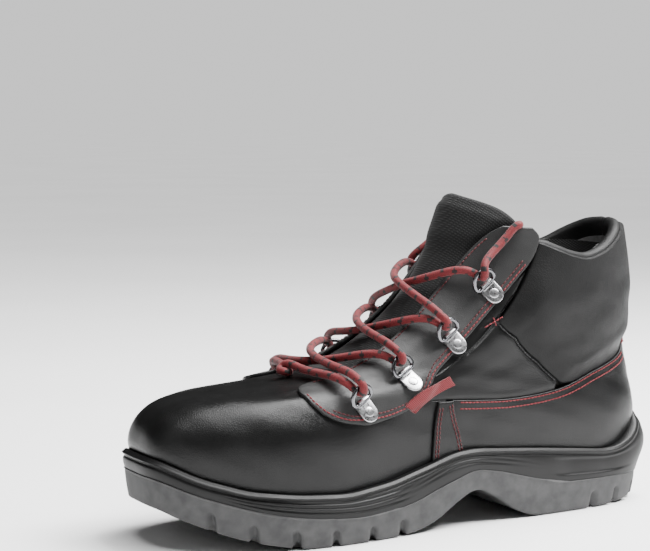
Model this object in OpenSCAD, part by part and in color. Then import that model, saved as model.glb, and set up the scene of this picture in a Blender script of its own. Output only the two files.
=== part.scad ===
// Steel toe work boot, left foot. Millimetres.
// +X to the toe, +Y to the outer side of the foot, +Z up; the origin is on the ground under the heel.

/* [Size] */
// Overall length of the sole
sole_length = 304; // [280:1:330]
// Height of the collar at the back
collar_height = 165; // [150:1:180]

/* [Leather and padding] */
// Thickness of the panels that are lasted over the foot
leather_t = 1.8; // [1.4:0.1:2.2]
// Thickness of the facings, straps and back strip laid over them
overlay_t = 1.5; // [1.2:0.1:1.8]
// Clear gap between two layers
gap = 0.5; // [0.4:0.1:0.6]
// Thickness of the foam in the collar
foam_t = 3.6; // [2.6:0.1:4.2]
// Thickness of the padded tongue
tongue_t = 4; // [3:0.1:5]

/* [Sole] */
// Width of the sole's rim outside the upper
rim_w = 5; // [4:0.5:7]
// Thickness of the removable footbed
footbed_t = 3.5; // [3:0.5:4]

/* [Lacing] */
// Wire radius of a D-ring
ring_wire_r = 1.15; // [1:0.05:1.3]
// Half length of a D-ring's straight bar between its corners
ring_half = 4.5; // [4:0.1:5]
// Radius of the round lace
lace_r = 2; // [1.6:0.1:2.2]

/* [Hidden] */
$fn = 48;

// ---- curves -------------------------------------------------------------------------------
function seg(xs, x, i = 0) = i >= len(xs) - 2 || x < xs[i + 1] ? i : seg(xs, x, i + 1);
function slope(xs, ys, i) = let (a = max(i - 1, 0), b = min(i + 1, len(xs) - 1))
    (ys[b] - ys[a]) / (xs[b] - xs[a]);
// Smooth curve through the knots (xs, ys), at x
function spl(xs, ys, x) = let (c = min(max(x, xs[0]), xs[len(xs) - 1]), i = seg(xs, c),
        h = xs[i + 1] - xs[i], t = (c - xs[i]) / h)
    (2 * t ^ 3 - 3 * t ^ 2 + 1) * ys[i] + (t ^ 3 - 2 * t ^ 2 + t) * h * slope(xs, ys, i)
    + (3 * t ^ 2 - 2 * t ^ 3) * ys[i + 1] + (t ^ 3 - t ^ 2) * h * slope(xs, ys, i + 1);
function unit(a) = a / norm(a);

// ---- the upper's surface ------------------------------------------------------------------
// v runs up the upper, 0 at the feather line and 1 at the tongue's top. The angle a runs round it:
// 0 at the back, 180 at the ridge over the instep; 0..180 is the outer side, 180..360 the inner side.
tenths = [for (i = [0:10]) i / 10];
ridge_x = [255, 258, 253, 238, 206, 172, 143, 117, 98, 84, 74];
ridge_z = [41, 53, 66, 75, 78, 83, 94, 112, 133, 157, 182];
back_x = [-42, -45, -44, -42, -40, -38, -37, -38, -39, -39, -36];
back_z = [34, 47, 60, 73, 86, 99, 112, 125, 138, 152, 165];
// Half widths at five places from back to front, at the heights in width_v
width_v = [0, 0.15, 0.3, 0.45, 0.6, 0.8, 1];
quarters = [0, 0.25, 0.5, 0.75, 1];
lateral_w = [[36, 34, 39, 50, 44], [38, 36, 40, 52, 45], [37, 36, 39, 46, 44], [35, 36, 37, 41, 48],
    [35, 36, 37, 38, 44], [37, 38, 38, 35, 33], [38, 39, 38, 35, 32]];
medial_w = [[36, 33, 30, 48, 46], [38, 35, 32, 50, 47], [37, 36, 36, 44, 44], [35, 36, 37, 40, 48],
    [35, 36, 37, 38, 44], [37, 38, 38, 35, 33], [38, 39, 38, 35, 32]];
squareness = [3.3, 3.2, 2.5, 2.1, 2, 2, 2];
// How far the feather line dips below a straight line at the waist and ball
dip_s = [0, 0.08, 0.26, 0.43, 0.52, 0.6, 0.7, 0.79, 0.87, 0.95, 1];
dip_z = [0, -5.5, -3, -1, -7, -13, -17, -16.5, -13, -6.5, 0];
kx = sole_length / 304;
function tall(z) = z < 90 ? z : 90 + (z - 90) * (collar_height - 90) / 75;
function bend_y(x) = -7 * min(max((x - 90) / 165, 0), 1) ^ 1.5;
function along(a) = (1 - cos(a)) / 2;
function S(v, a) = let (s = along(a), side = (a + 360) % 360 <= 180 ? 1 : -1,
        x = spl(tenths, back_x, v) * (1 - s) + spl(tenths, ridge_x, v) * s,
        low = max(1 - v / 0.35, 0) ^ 2,
        z = spl(tenths, back_z, v) * (1 - s) + spl(tenths, ridge_z, v) * s + low * spl(dip_s, dip_z, s),
        w = side > 0 ? lateral_w : medial_w,
        half = spl(quarters, [for (j = [0:4]) spl(width_v, [for (r = w) r[j]], v)], s),
        n = spl(width_v, squareness, v))
    [kx * x, bend_y(x) + side * half * max(1 - abs(1 - 2 * s) ^ n, 0) ^ (1 / n), tall(z)];
function normal(v, a) =
    unit(cross(S(v + 0.01, a) - S(v - 0.01, a), S(v, a + 0.7) - S(v, a - 0.7)));
// The point at height v and angle a, d outside the surface
function at(v, a, d) = S(v, a) + d * normal(v, a);

// ---- solids from rings and from rows --------------------------------------------------------
// A closed solid through rings of equal length; each end is closed by a ladder across its ring
module loft(rings) {
    n = len(rings[0]);
    m = n / 2;
    last = (len(rings) - 1) * n;
    polyhedron([for (r = rings) each r], [
        for (k = [0:m - 2]) each [[k + 1, k, n - 1 - k], [k + 1, n - 1 - k, n - 2 - k]],
        for (i = [0:len(rings) - 2], k = [0:n - 1]) let (a = i * n + k, b = i * n + (k + 1) % n)
            each [[a, b, b + n], [a, b + n, a + n]],
        for (k = [0:m - 2]) each [[last + k, last + k + 1, last + n - 2 - k],
            [last + k, last + n - 2 - k, last + n - 1 - k]]], convexity = 8);
}
// A panel of the upper: rows of [v, a] places, from d0 to d1 outside the surface
module panel(rows, d0, d1) {
    n = len(rows);
    m = len(rows[0]);
    h = n * m;
    pts = [for (d = [d1, d0]) for (r = rows) for (q = r)
        at(q[0], q[1], d + (is_undef(q[2]) ? 0 : q[2]))];
    polyhedron(pts, [
        for (i = [0:n - 2], j = [0:m - 2]) let (a = i * m + j) each [
            [a, a + 1, a + m + 1], [a, a + m + 1, a + m],
            [h + a, h + a + m + 1, h + a + 1], [h + a, h + a + m, h + a + m + 1]],
        for (j = [0:m - 2]) let (b = (n - 1) * m + j) each [
            [j + 1, j, h + j], [j + 1, h + j, h + j + 1],
            [b, b + 1, h + b + 1], [b, h + b + 1, h + b]],
        for (i = [0:n - 2]) let (a = i * m, b = i * m + m - 1) each [
            [a, a + m, h + a + m], [a, h + a + m, h + a],
            [b + m, b, h + b], [b + m, h + b, h + b + m]]], convexity = 8);
}
function span(a, b, n) = [for (i = [0:n]) a + (b - a) * i / n];
function mirrored(rows) = [for (r = rows) [for (i = [len(r) - 1:-1:0])
    concat([r[i][0], 360 - r[i][1]], is_undef(r[i][2]) ? [] : [r[i][2]])]];

// ---- sole -----------------------------------------------------------------------------------
// Heights along the sole: top of the midsole's rim, the line between midsole and outsole, the tread
top_x = [-49, -37, -26, -15, 7, 40, 80, 94, 111, 135, 163, 191, 217, 240, 260];
top_z = [54, 42.5, 35, 33.5, 36, 39.5, 43, 42, 37, 31, 27.5, 29, 32, 39, 49];
mid_x = [-49, 0, 21, 42, 64, 80, 104, 117, 131, 150, 169, 189, 207, 224, 240, 260];
mid_z = [17, 17.5, 18, 23, 29, 31.5, 24, 19, 16, 14, 15, 17, 20, 25, 30, 39];
tread_x = [-49, -30, -10, 42, 64, 77, 90, 104, 117, 131, 189, 207, 224, 240, 252, 260];
tread_z = [4, 2, 0, 0, 14, 20, 13, 5, 1.2, 0, 0, 3, 7, 13, 18, 23];
function lin(xs, ys, x) = lookup(x, [for (i = [0:len(xs) - 1]) [xs[i], ys[i]]]);
stations = [5, 9, 15, 22, 29, 36, 43, 50, 56, 62, 68, 74, 80, 86, 92, 98, 104, 110, 116, 122, 128, 134,
    140, 146, 152, 158, 165, 171, 175];
// Plan outline m outside the feather line, as a ring: outer side back to front, inner side back
function plan(m, n = 3.1) = [for (i = [0:2 * len(stations) - 1])
    let (side = i < len(stations) ? 1 : -1,
        a = stations[i < len(stations) ? i : 2 * len(stations) - 1 - i], s = along(a),
        x = -44 - m + (299 + 2 * m) * s,
        half = spl(quarters, side > 0 ? lateral_w[0] : medial_w[0], s) + m)
    [x, bend_y(x) + side * half * max(1 - abs(1 - 2 * s) ^ n, 0) ^ (1 / n)]];
function ring_at(m, xs, zs, dz = 0, n = 3.1) = [for (p = plan(m, n)) [kx * p[0], p[1], lin(xs, zs, p[0]) + dz]];
feather_x = [for (s = [0:0.05:1]) -42 + 297 * s];
feather_z = [for (s = [0:0.05:1]) 34 + 7 * s + spl(dip_s, dip_z, s)];
// A flat layer inside the boot, from z0 to z1 above the feather line, m outside (or inside) it
module layer(m, z0, z1) loft([ring_at(m, feather_x, feather_z, z0), ring_at(m, feather_x, feather_z, z1)]);

module outsole() color("dimgray") loft([ring_at(rim_w - 2, tread_x, tread_z), ring_at(rim_w, mid_x, mid_z, -0.1)]);
// The height up the upper at which the midsole's rim meets it, at the angle a
function rim_v(a) = let (z = lin(top_x, top_z, S(0.05, a)[0]) - 0.3, z0 = S(0, a)[2],
        first = max(0.1 * (z - z0) / (S(0.1, a)[2] - z0), 0.01), z1 = S(first, a)[2])
    max(first + 0.02 * (z - z1) / (S(first + 0.02, a)[2] - z1), 0.01);
// A ring on the midsole's inner wall, at the share k of its height
function wall_ring(k) = [for (i = [0:2 * len(stations) - 1])
    let (a = stations[i < len(stations) ? i : 2 * len(stations) - 1 - i], b = i < len(stations) ? a : 360 - a)
    at(rim_v(b) * k, b, gap + 0.2)];
module midsole() color("black") loft([
    ring_at(rim_w, mid_x, mid_z, 0.1), ring_at(rim_w + 0.5, top_x, top_z, -3), ring_at(rim_w - 1, top_x, top_z),
    wall_ring(1), wall_ring(0.66), wall_ring(0.33), wall_ring(0), ring_at(-0.6, feather_x, feather_z, -1.2)]);
module puncture_plate() color("silver") layer(-4.4, -0.9, -0.2);
module insole_board() color("tan") layer(-3.4, 0.1, 2.1);
module footbed() color("#303236") layer(-8.4, 2.5, 2.5 + footbed_t);

// ---- inside the upper -------------------------------------------------------------------------
under = -leather_t - gap;
// Depth of the lining: close under the leather low down, behind the foam higher up
function lining_d(v) = -4.6 - (foam_t - 1.6) * min(max((v - 0.22) / 0.2, 0), 1);
module toe_cap() color("silver") panel([for (q = [[0.05, 127], [0.11, 128], [0.18, 131], [0.25, 135],
    [0.31, 141], [0.36, 150]]) [for (t = span(-1, 1, 22)) [q[0], 180 + (180 - q[1]) * t]]],
    under - 1.9, under);
module heel_stiffener() color("tan") panel([for (v = span(0.06, 0.4, 6)) [for (t = span(-1, 1, 22))
    [v, 360 + 62 * sign(t) * abs(t) ^ 1.2]]], under - 1.6, under);
module vamp_lining() color("#26272a") panel([for (v = span(0.07, 0.46, 8)) [for (t = span(-1, 1, 26))
    [v, 180 + 76 * sign(t) * abs(t) ^ 1.25, lining_d(v)]]], -0.9, 0);
module shaft_lining() color("#26272a") panel([for (k = [0:10]) let (w = k / 10) [for (t = span(-1, 1, 32))
    let (a = t * (103 + 22 * min(max((w - 0.5) * 5, 0), 1)),
        v = 0.07 + w * (min(collar_top(abs(a)), 0.9) - 0.07 - 0.02)) [v, 360 + a, lining_d(v)]]], -0.9, 0);

// ---- panels of the upper ------------------------------------------------------------------------
// Every line is written for the outer side: a is the angle from the back, v the height.
line_a = [0, 16, 20, 43, 54, 62, 72, 80, 87];
counter_v = [0.46, 0.45, 0.41, 0.34, 0.285, 0.262, 0.25, 0.255, 0.265];
collar_a = [0, 20, 32, 44, 56, 70, 81, 91, 103, 125];
collar_v = [1, 0.985, 0.96, 0.925, 0.885, 0.86, 0.868, 0.885, 0.905, 0.92];
function counter_top(a) = spl(line_a, counter_v, a);
function collar_top(a) = spl(collar_a, collar_v, a);
diag_a = [0, 44, 55, 69, 88, 104];
diag_v = [0.3, 0.3, 0.3, 0.44, 0.59, 0.67];
function diagonal(a) = lin(diag_a, diag_v, a);
vamp_a = [88, 96, 103, 112, 120, 130, 140, 148, 160, 180];
vamp_v = [0.265, 0.275, 0.295, 0.325, 0.355, 0.405, 0.452, 0.485, 0.51, 0.52];
function vamp_top(a) = spl(vamp_a, vamp_v, a);
seam = 0.006;
module vamp() color("#1b1b1d") panel([for (k = [0:9]) [for (t = span(-1, 1, 34))
    let (u = sign(t) * abs(t) ^ 1.15, a = 180 - 91.5 * abs(u))
    [max(vamp_top(a) * k / 9, 0.005), 180 + 91.5 * u]]], -leather_t, 0);
function quarter_rows() = [for (k = [0:9]) [for (a = [57, 62, 69, 78, 87, 95, 103.2, 105, 112, 120, 130, 139, 146])
    let (lo = a < 88 ? counter_top(a) + seam : vamp_top(a) + seam,
        hi = a < 104 ? diagonal(a) - seam : spl([104, 125, 139, 146], [0.905, 0.9, 0.87, 0.82], a))
    [lo + (max(hi, lo + 0.02) - lo) * k / 9, a]]];
module quarter_lateral() color("#1b1b1d") panel(quarter_rows(), -leather_t, 0);
module quarter_medial() color("#1b1b1d") panel(mirrored(quarter_rows()), -leather_t, 0);
module heel_counter() color("#1b1b1d") panel([for (k = [0:8]) [for (t = span(-1, 1, 36))
    let (u = sign(t) * abs(t) ^ 1.2, a = 87 * abs(u))
    [max((counter_top(a) - 0.002) * k / 8, 0.005), 360 + 87 * u]]], -leather_t, 0);
function collar_rows() = [for (k = [0:9]) [for (a = [1, 4, 9, 16, 24, 33, 42, 50, 57, 64, 71, 79, 87, 95, 102.6])
    let (lo = max(counter_top(min(a, 56)) + seam, diagonal(a) + seam), hi = collar_top(a))
    [lo + (hi - lo) * k / 9, a]]];
module collar_lateral() color("#202023") panel(collar_rows(), -leather_t, 0);
module collar_medial() color("#202023") panel(mirrored(collar_rows()), -leather_t, 0);
module collar_foam() color("gray") panel([for (k = [0:7]) [for (t = span(-1, 1, 32))
    let (u = sign(t) * abs(t) ^ 1.1, a = 101 * abs(u), hi = collar_top(a) - 0.02,
        lo = max(counter_top(min(a, 56)) + 0.03, diagonal(a) + 0.03, 0.46))
    [lo + (hi - lo) * k / 7, 360 + 101 * u]]], under - foam_t + 0.4, under);
module back_strip() color("#1b1b1d") panel([for (v = span(0.475, 0.94, 7))
    [for (a = [-15, -10, -6, -2.5, 0, 2.5, 6, 10, 15]) [v, 360 + a]]], gap, gap + overlay_t);

// The facing: its rear and front edges, as angles, from its lowest point to its top
facing_v = [0.205, 0.215, 0.24, 0.28, 0.33, 0.385, 0.44, 0.5, 0.6, 0.7, 0.78, 0.84, 0.88, 0.91, 0.93];
facing_rear = [107.5, 104, 99, 96, 97, 100, 104, 108, 112, 113, 109.5, 104.5, 103, 103.5, 107];
facing_front = [108.5, 113, 118.5, 123.5, 130, 140, 149.5, 150, 150, 150, 147.5, 143, 138, 132, 125];
function facing_rows() = [for (i = [0:len(facing_v) - 1]) [for (u = span(0, 1, 9))
    [facing_v[i], facing_rear[i] + (facing_front[i] - facing_rear[i]) * u]]];
module rivet_holes(side) for (i = [0:3]) on_facing(i, side) translate([rivet_t, 0, -5]) cylinder(r = 1.6, h = 10);
module facing_lateral() color("#28282a") difference() {
    panel(facing_rows(), gap, gap + overlay_t);
    rivet_holes(1);
}
module facing_medial() color("#28282a") difference() {
    panel(mirrored(facing_rows()), gap, gap + overlay_t);
    rivet_holes(-1);
}
strap_rows = [for (q = [[0.13, 79.6, 89.8], [0.16, 80.6, 90], [0.19, 81.8, 90.4], [0.22, 83, 91], [0.26, 84.6, 92]])
    [for (u = span(0, 1, 3)) [q[0], q[1] + (q[2] - q[1]) * u]]];
module strap_lateral() color("#1b1b1d") panel(strap_rows, gap, gap + overlay_t);
module strap_medial() color("#1b1b1d") panel(mirrored(strap_rows), gap, gap + overlay_t);
module side_tab() color("firebrick") panel([for (u = span(0, 1, 2)) [for (w = span(0, 1, 6))
    let (p = [0.26, 100] * (1 - w) + [0.42, 97.5] * w, q = [0.225, 96] * (1 - w) + [0.35, 90.5] * w)
    [q[0] + (p[0] - q[0]) * u, q[1] + (p[1] - q[1]) * u]]], gap + overlay_t + 0.3, gap + overlay_t + 1.1);

// ---- tongue -----------------------------------------------------------------------------------
tongue_v = [0.46, 0.83, 0.845, 0.9, 0.94, 1];
tongue_a = [151, 151, 150, 141, 131, 124];
module tongue_piece(v0, v1, n) color("#161617") panel([for (v = span(v0, v1, n))
    let (e = 180 - spl(tongue_v, tongue_a, v)) [for (t = span(-1, 1, 12)) [v, 180 + e * t]]],
    under - 0.2 - tongue_t, under - 0.2);
tongue_hinge_v = 0.838;
module tongue() tongue_piece(0.47, tongue_hinge_v - 0.002, 8);
module tongue_tip() tongue_piece(tongue_hinge_v + 0.012, 1, 5);

// ---- lacing -----------------------------------------------------------------------------------
ring_place = [[0.29, 112.5], [0.465, 117], [0.635, 121.5], [0.78, 121.5]];
plate_t = 0.9;
bar_n = 2.4;        // height of a ring's bar over the plate's foot
rivet_t = -6.4;     // where a rivet stands, behind the bar
ring_tilt = 35;     // how far a ring is raised towards the tongue
corner_r = 2.2;
bow_r = ring_half + corner_r;
// Frame on the facing: x to the tongue, y along the facing's edge, z out of the leather
function facing_frame(i, side) = let (v = ring_place[i][0], a = side > 0 ? ring_place[i][1] : 360 - ring_place[i][1],
        n = normal(v, a), w = [0.45, -0.6 * side, 0.6], t = unit(w - (w * n) * n), b = cross(n, t),
        o = at(v, a, gap + overlay_t + 0.35))
    [for (r = [0:2]) [t[r], b[r], n[r], o[r]]];
module on_facing(i, side) multmatrix(facing_frame(i, side)) children();
function from_facing(i, side, p) = let (m = facing_frame(i, side))
    [for (r = [0:2]) m[r][0] * p[0] + m[r][1] * p[1] + m[r][2] * p[2] + m[r][3]];

module d_ring(i, side) color("#6b6d70") on_facing(i, side) translate([0, 0, bar_n]) rotate([0, -ring_tilt, 0]) {
    rotate([90, 0, 0]) cylinder(r = ring_wire_r, h = 2 * ring_half, center = true);
    for (s = [-1, 1]) translate([corner_r, s * ring_half, 0]) rotate([0, 0, s > 0 ? 90 : 180])
        rotate_extrude(angle = 90) translate([corner_r, 0]) circle(ring_wire_r);
    translate([corner_r, 0, 0]) rotate([0, 0, -90])
        rotate_extrude(angle = 180) translate([bow_r, 0]) circle(ring_wire_r);
}
module clip(i, side) color("gainsboro") on_facing(i, side) difference() {
    union() {
        translate([0, 0, bar_n]) rotate([90, 0, 0]) cylinder(r = 2.05, h = 7, center = true);
        translate([-7, -5, 0]) cube([7, 10, plate_t]);
        translate([-7, 0, 0]) cylinder(r = 5, h = plate_t);
    }
    translate([0, 0, bar_n]) rotate([90, 0, 0]) cylinder(r = ring_wire_r + 0.08, h = 20, center = true);
    translate([rivet_t, 0, -1]) cylinder(r = 1.6, h = 4);
}
module rivet(i, side) color("silver") on_facing(i, side) translate([rivet_t, 0, 0]) {
    translate([0, 0, -overlay_t - 0.1]) cylinder(r = 1.5, h = overlay_t + plate_t + 0.2);
    intersection() {
        translate([0, 0, plate_t + 0.05]) cylinder(r = 2.6, h = 2);
        translate([0, 0, plate_t - 2.6]) sphere(r = 3.9);
    }
}
module ring_lateral_1() d_ring(0, 1);
module ring_lateral_2() d_ring(1, 1);
module ring_lateral_3() d_ring(2, 1);
module ring_lateral_4() d_ring(3, 1);
module ring_medial_1() d_ring(0, -1);
module ring_medial_2() d_ring(1, -1);
module ring_medial_3() d_ring(2, -1);
module ring_medial_4() d_ring(3, -1);
module clips_lateral() for (i = [0:3]) clip(i, 1);
module clips_medial() for (i = [0:3]) clip(i, -1);
module rivets_lateral() for (i = [0:3]) rivet(i, 1);
module rivets_medial() for (i = [0:3]) rivet(i, -1);

// The lace's turn round the bow of a ring, from its upper strand to its lower one
turn_r = 4.2;
turn_places = concat([[6, 2.6]], [for (u = [60:30:300]) turn_r * [cos(u), sin(u)]], [[5.5, -3.6]]);
function turn(i, side) = let (c = cos(ring_tilt), s = sin(ring_tilt), reach = corner_r + bow_r)
    [for (p = turn_places)
        from_facing(i, side, [(reach + p[0]) * c - p[1] * s, 0, bar_n + (reach + p[0]) * s + p[1] * c])];
function back(list) = [for (i = [len(list) - 1:-1:0]) list[i]];
// Heights at which the strands cross over the tongue
cross_v = [0.545, 0.655, 0.775];
function cross_at(v, side, d) = at(v, side > 0 ? 167 : 193, d);
function strand(i, side, d) = [cross_at(cross_v[i] - 0.012, side, d), cross_at(cross_v[i] + 0.012, -side, d)];
// One half of the lace, from the bottom bar up to the end on the side it finishes on
function half_path(side) = concat(
    back(turn(0, side)), strand(0, side, 6 + 2.3 * side),
    turn_up(1, -side), strand(1, -side, 6 - 2.3 * side),
    turn_up(2, side), strand(2, side, 6 + 2.3 * side),
    turn_up(3, -side), tail(-side));
function turn_up(i, side) = back(turn(i, side));
function at_side(v, a, side, d) = at(v, side > 0 ? a : 360 - a, d);
function tail(side) = [at_side(0.86, 126, side, 6), at_side(0.91, 120, side, 5.2), at_side(0.945, 117, side, 2.5),
    at_side(0.952, 116, side, -3), at_side(0.93, 116, side, -9.5), at_side(0.89, 116, side, -11),
    at_side(0.83, 117, side, -11)];
// The bottom bar runs under the rings' upper strands, from one side to the other
lace_route = concat(back(half_path(-1)), [at(0.49, 170, 4.6), at(0.49, 190, 4.6)], half_path(1));
module tube(path, r, n = 6) {
    m = len(path);
    dirs = [for (i = [0:m - 1]) unit(path[min(i + 1, m - 1)] - path[max(i - 1, 0)])];
    frames = frame_along(dirs, 0, unit(cross(dirs[0], [0.3, 0.9, 0.2])));
    polyhedron([for (i = [0:m - 1]) let (e = frames[i], f = cross(dirs[i], e))
        for (k = [0:n - 1]) path[i] + r * (cos(360 * k / n) * e + sin(360 * k / n) * f)],
        [[for (k = [0:n - 1]) k], [for (k = [n - 1:-1:0]) (m - 1) * n + k],
        for (i = [0:m - 2], k = [0:n - 1]) let (a = i * n + k, b = i * n + (k + 1) % n)
            each [[a, b + n, b], [a, a + n, b + n]]], convexity = 20);
}
function frame_along(dirs, i, e) = i >= len(dirs) ? [] :
    let (g = unit(e - (e * dirs[i]) * dirs[i])) concat([g], frame_along(dirs, i + 1, g));
module lace() color("firebrick") tube(lace_route, lace_r);
module lace_aglets() color("black") for (s = [-1, 1]) {
    p = at_side(0.83, 117, s, -11);
    q = at_side(0.74, 117, s, -12);
    tube([p + (q - p) * 0.06, q], 1.4);
}

outsole();
midsole();
puncture_plate();
insole_board();
footbed();
toe_cap();
heel_stiffener();
vamp_lining();
shaft_lining();
vamp();
quarter_lateral();
quarter_medial();
heel_counter();
collar_lateral();
collar_medial();
collar_foam();
back_strip();
facing_lateral();
facing_medial();
strap_lateral();
strap_medial();
tongue();
tongue_tip();
side_tab();
ring_lateral_1();
ring_lateral_2();
ring_lateral_3();
ring_lateral_4();
ring_medial_1();
ring_medial_2();
ring_medial_3();
ring_medial_4();
clips_lateral();
clips_medial();
rivets_lateral();
rivets_medial();
lace();
lace_aglets();
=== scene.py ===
"""Steel toe work boot, left foot: the looks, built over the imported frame.

Shapes are worked out in millimetres and scaled when a mesh is made. +X is to the toe and +Y to the
outer side of the foot. A place on the upper is (v, a): v runs up it, 0 at the feather line and 1 at
the tongue's top; a is the angle round it, 0 at the back and 180 at the ridge, 0..180 on the outer side.
"""
import math
import bmesh
import bpy
import numpy as np
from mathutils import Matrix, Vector


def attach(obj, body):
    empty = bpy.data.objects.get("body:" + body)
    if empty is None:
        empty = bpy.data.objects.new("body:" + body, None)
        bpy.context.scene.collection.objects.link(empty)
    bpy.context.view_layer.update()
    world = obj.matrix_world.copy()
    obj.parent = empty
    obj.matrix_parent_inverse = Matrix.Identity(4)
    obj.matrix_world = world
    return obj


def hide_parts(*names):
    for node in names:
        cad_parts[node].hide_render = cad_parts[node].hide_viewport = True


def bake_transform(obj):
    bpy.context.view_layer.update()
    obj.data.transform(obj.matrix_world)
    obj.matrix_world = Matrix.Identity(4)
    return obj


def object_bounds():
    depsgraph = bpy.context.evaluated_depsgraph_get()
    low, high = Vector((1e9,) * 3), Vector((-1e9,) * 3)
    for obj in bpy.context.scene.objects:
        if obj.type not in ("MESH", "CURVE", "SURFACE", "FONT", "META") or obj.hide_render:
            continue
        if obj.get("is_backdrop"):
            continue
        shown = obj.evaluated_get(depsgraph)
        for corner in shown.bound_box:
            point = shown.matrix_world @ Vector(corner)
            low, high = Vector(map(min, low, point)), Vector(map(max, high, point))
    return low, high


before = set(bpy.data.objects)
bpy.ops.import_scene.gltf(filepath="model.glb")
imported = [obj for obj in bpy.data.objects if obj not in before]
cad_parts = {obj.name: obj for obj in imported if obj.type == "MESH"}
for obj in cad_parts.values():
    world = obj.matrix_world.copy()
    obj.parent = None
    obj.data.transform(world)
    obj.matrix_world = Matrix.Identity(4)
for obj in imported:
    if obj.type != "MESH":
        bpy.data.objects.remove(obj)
cad_low, cad_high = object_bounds()
MM = 0.001
ROOT = "boot"

# ---- curves and the upper's surface ----
TENTHS = np.linspace(0, 1, 11)
RIDGE_X = [255, 258, 253, 238, 206, 172, 143, 117, 98, 84, 74]
RIDGE_Z = [41, 53, 66, 75, 78, 83, 94, 112, 133, 157, 182]
BACK_X = [-42, -45, -44, -42, -40, -38, -37, -38, -39, -39, -36]
BACK_Z = [34, 47, 60, 73, 86, 99, 112, 125, 138, 152, 165]
WIDTH_V = [0, 0.15, 0.3, 0.45, 0.6, 0.8, 1]
QUARTERS = [0, 0.25, 0.5, 0.75, 1]
LATERAL_W = [[36, 34, 39, 50, 44], [38, 36, 40, 52, 45], [37, 36, 39, 46, 44], [35, 36, 37, 41, 48],
             [35, 36, 37, 38, 44], [37, 38, 38, 35, 33], [38, 39, 38, 35, 32]]
MEDIAL_W = [[36, 33, 30, 48, 46], [38, 35, 32, 50, 47], [37, 36, 36, 44, 44], [35, 36, 37, 40, 48],
            [35, 36, 37, 38, 44], [37, 38, 38, 35, 33], [38, 39, 38, 35, 32]]
SQUARENESS = [3.3, 3.2, 2.5, 2.1, 2, 2, 2]
DIP_S = [0, 0.08, 0.26, 0.43, 0.52, 0.6, 0.7, 0.79, 0.87, 0.95, 1]
DIP_Z = [0, -5.5, -3, -1, -7, -13, -17, -16.5, -13, -6.5, 0]


def spl(xs, ys, x):
    """Smooth curve through the knots (xs, ys), at x."""
    xs, ys = np.asarray(xs, float), np.asarray(ys, float)
    x = np.clip(np.asarray(x, float), xs[0], xs[-1])
    i = np.clip(np.searchsorted(xs, x, side="right") - 1, 0, len(xs) - 2)
    before = np.maximum(np.arange(len(xs)) - 1, 0)
    after = np.minimum(np.arange(len(xs)) + 1, len(xs) - 1)
    slope = (ys[after] - ys[before]) / (xs[after] - xs[before])
    gap = xs[i + 1] - xs[i]
    return hermite((x - xs[i]) / gap, gap, ys[i], ys[i + 1], slope[i], slope[i + 1])


def hermite(t, h, y0, y1, m0, m1):
    """Cubic from y0 to y1 over a gap h with the end slopes m0 and m1, at the share t."""
    return ((2 * t**3 - 3 * t**2 + 1) * y0 + (t**3 - 2 * t**2 + t) * h * m0
            + (3 * t**2 - 2 * t**3) * y1 + (t**3 - t**2) * h * m1)


def smooth(t):
    """0 below 0, 1 above 1, and an even S between."""
    t = np.clip(t, 0, 1)
    return t * t * (3 - 2 * t)


def unit(p):
    return p / np.maximum(np.linalg.norm(p, axis=-1, keepdims=True), 1e-12)


def bend_y(x):
    """How far the middle of the foot lies to the inner side."""
    return -7 * np.clip((x - 90) / 165, 0, 1) ** 1.5


def half_width(table, v, s):
    """Half width at the height v and the share s from back to front."""
    cols = np.stack([spl(WIDTH_V, [row[j] for row in table], v) for j in range(5)], -1)
    step = QUARTERS[1]
    slope = np.empty_like(cols)
    slope[..., 1:-1] = (cols[..., 2:] - cols[..., :-2]) / (2 * step)
    slope[..., 0] = (cols[..., 1] - cols[..., 0]) / step
    slope[..., -1] = (cols[..., -1] - cols[..., -2]) / step
    i = np.clip((s / step).astype(int), 0, 3)
    pick = lambda array, k: np.take_along_axis(array, k[..., None], -1)[..., 0]
    return hermite(s / step - i, step, pick(cols, i), pick(cols, i + 1), pick(slope, i), pick(slope, i + 1))


def surface(v, a):
    """The point of the upper's plain surface at (v, a)."""
    v, a = np.broadcast_arrays(np.asarray(v, float), np.asarray(a, float))
    s = (1 - np.cos(np.radians(a))) / 2
    side = np.where(np.mod(a, 360) <= 180, 1.0, -1.0)
    x = spl(TENTHS, BACK_X, v) * (1 - s) + spl(TENTHS, RIDGE_X, v) * s
    low = np.maximum(1 - v / 0.35, 0) ** 2
    z = spl(TENTHS, BACK_Z, v) * (1 - s) + spl(TENTHS, RIDGE_Z, v) * s + low * spl(DIP_S, DIP_Z, s)
    half = np.where(side > 0, half_width(LATERAL_W, v, s), half_width(MEDIAL_W, v, s))
    n = spl(WIDTH_V, SQUARENESS, v)
    y = bend_y(x) + side * half * np.maximum(1 - np.abs(1 - 2 * s) ** n, 0) ** (1 / n)
    return np.stack([x, y, z], -1)


def normal(v, a):
    """The direction straight out of the surface at (v, a)."""
    up = surface(v + 0.01, a) - surface(v - 0.01, a)
    onward = surface(v, a + 0.7) - surface(v, a - 0.7)
    return unit(np.cross(up, onward))


def fold(a):
    """The angle on the outer side that mirrors a."""
    return np.abs((np.asarray(a, float) + 180) % 360 - 180)


FULL_V = [0, 0.1, 0.2, 0.32, 0.44, 0.54, 0.62, 0.72, 0.82, 0.92, 1]
FULL_MM = [0, 0.8, 2.2, 3.3, 3.8, 4.6, 4.0, 3.0, 2.0, 0.8, 0.4]


def heel_fullness(v, a):
    """How far the padded heel and collar stand out of the plain surface, most at the back."""
    return spl(FULL_V, FULL_MM, v) * (1 - smooth(fold(a) / 85))


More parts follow.
